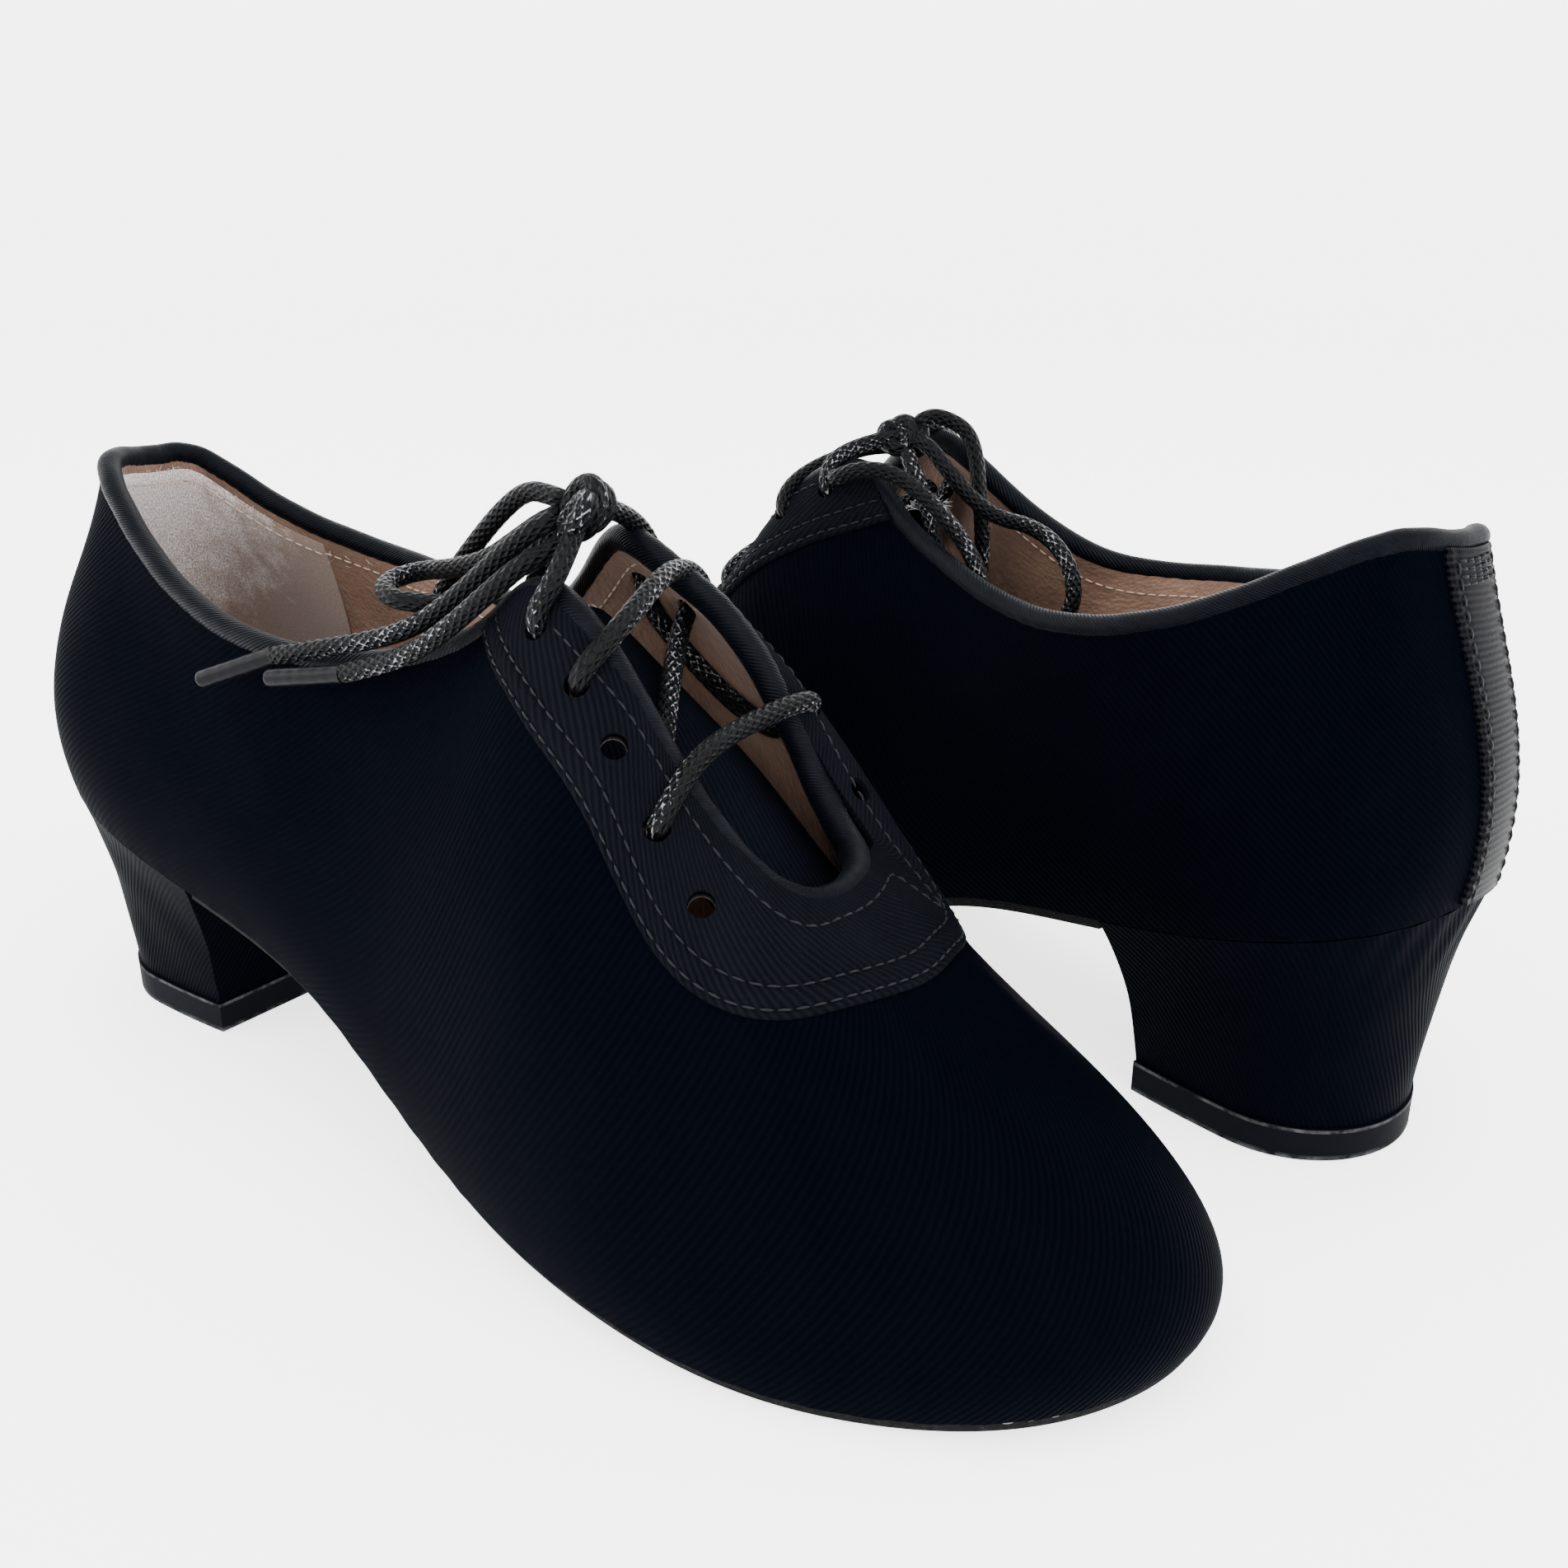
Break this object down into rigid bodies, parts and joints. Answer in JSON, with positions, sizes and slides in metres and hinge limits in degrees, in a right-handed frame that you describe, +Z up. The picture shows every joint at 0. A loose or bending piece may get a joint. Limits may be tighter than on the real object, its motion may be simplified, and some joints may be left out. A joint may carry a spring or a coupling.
{
  "type": "pair of heeled lace-up dance shoes",
  "caption": "Pair of lace-up practice dance shoes with a block heel, punched facings under tied round laces, a rolled padded collar and thin soles.",
  "frame": {"origin": "middle of the pair's box at floor level, with both shoes standing on their heel tips and soles", "axes": "+Z up; +X along the right shoe from heel to toe; +Y to the left, towards the left shoe, whose toe points back by 171 degrees about +Z"},
  "size_m": [0.2492, 0.1881, 0.1155],
  "materials": {
    "black_cloth": "satin ribbed cloth, blue-black",
    "black_grosgrain": "ribbed grosgrain tape, blue-black",
    "black_binding": "rolled satin binding, blue-black",
    "tan_lining": "matte tan lining leather",
    "grey_suede": "brushed pale grey suede",
    "stiffener": "matte moulded sheet",
    "heel_plastic": "matte moulded",
    "black_rubber": "matte",
    "steel": "brushed",
    "fibreboard": "matte pressed fibre",
    "filler": "matte cork and felt filler",
    "suede_sole": "worn dark suede",
    "black_lace": "round braid with a silvery glint",
    "aglet_film": "shiny wrapped film"
  },
  "bodies": {
    "right_shoe": {"right_aglet_a": "aglet_film", "right_aglet_b": "aglet_film", "right_backstrap": "black_grosgrain", "right_bottom_filler": "filler", "right_bow_loop_a": "black_lace", "right_bow_loop_b": "black_lace", "right_facing": "black_cloth", "right_heel_block": "heel_plastic", "right_heel_counter": "stiffener", "right_heel_cover": "black_cloth", "right_heel_grip": "grey_suede", "right_heel_nails": "steel", "right_heel_screw": "steel", "right_heel_tip": "black_rubber", "right_insole_board": "fibreboard", "right_lace_knot": "black_lace", "right_lace_rungs": "black_lace", "right_lace_tail_a": "black_lace", "right_lace_tail_b": "black_lace", "right_outsole": "suede_sole", "right_quarter_lining": "tan_lining", "right_shank": "steel", "right_sock_liner": "tan_lining", "right_throat_binding": "black_binding", "right_tip_dowels": "steel", "right_toe_puff": "stiffener", "right_topline_binding": "black_binding", "right_upper": "black_cloth", "right_vamp_lining": "tan_lining"},
    "right_tongue": {"right_tongue": "black_cloth"},
    "left_shoe": {"left_aglet_a": "aglet_film", "left_aglet_b": "aglet_film", "left_backstrap": "black_grosgrain", "left_bottom_filler": "filler", "left_bow_loop": "black_lace", "left_facing": "black_cloth", "left_heel_block": "heel_plastic", "left_heel_counter": "stiffener", "left_heel_cover": "black_cloth", "left_heel_grip": "grey_suede", "left_heel_nails": "steel", "left_heel_screw": "steel", "left_heel_tip": "black_rubber", "left_insole_board": "fibreboard", "left_lace_knot": "black_lace", "left_lace_rungs": "black_lace", "left_lace_tail_a": "black_lace", "left_lace_tail_b": "black_lace", "left_outsole": "suede_sole", "left_quarter_lining": "tan_lining", "left_shank": "steel", "left_sock_liner": "tan_lining", "left_throat_binding": "black_binding", "left_tip_dowels": "steel", "left_toe_puff": "stiffener", "left_topline_binding": "black_binding", "left_upper": "black_cloth", "left_vamp_lining": "tan_lining"},
    "left_tongue": {"left_tongue": "black_cloth"}
  },
  "joints": [
    {"name": "left_shoe_lift", "type": "slide", "parent": "right_shoe", "child": "left_shoe", "axis": [0, 0, 1], "range_m": [0, 0.15]},
    {"name": "right_tongue_hinge", "type": "hinge", "parent": "right_shoe", "child": "right_tongue", "pos_m": [0.0676, -0.0522, 0.0478], "axis": [0, -1, 0], "range_deg": [0, 8]},
    {"name": "left_tongue_hinge", "type": "hinge", "parent": "left_shoe", "child": "left_tongue", "pos_m": [-0.0653, 0.0603, 0.0478], "axis": [0.1564, 0.9877, 0], "range_deg": [0, 8]}
  ]
}
